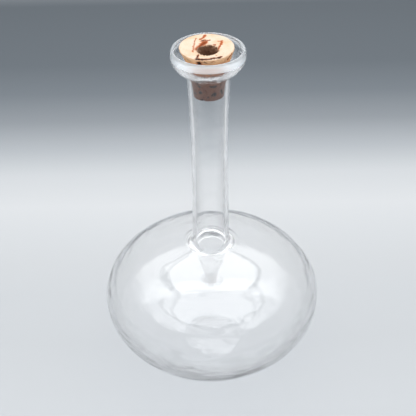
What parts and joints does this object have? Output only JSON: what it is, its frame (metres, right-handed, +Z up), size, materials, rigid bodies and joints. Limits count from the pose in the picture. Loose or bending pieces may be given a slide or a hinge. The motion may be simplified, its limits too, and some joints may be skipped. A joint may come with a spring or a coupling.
{
  "type": "stoppered laboratory flask",
  "caption": "Squat clear glass flask with a slightly flattened round bottom, a long straight neck, a flared cup mouth and a bored tapered cork stopper.",
  "frame": {"origin": "centre of the circle that the flask stands on, in the plane of the table", "axes": "+Z up the axis of the bulb, neck and cork; +X and +Y lie in the plane of the table, and the flask is round about Z"},
  "size_m": [0.18, 0.18, 0.287],
  "materials": {
    "clear_glass": "clear polished blown glass, colourless",
    "natural_cork": "natural cork, matte, pale cut top with brown cracks, pitted side"
  },
  "bodies": {
    "flask": {"flask": "clear_glass"},
    "stopper": {"cork_stopper": "natural_cork"}
  },
  "joints": [
    {"name": "stopper_pull", "type": "slide", "parent": "flask", "child": "stopper", "axis": [0, 0, 1], "range_m": [0, 0.06]}
  ]
}
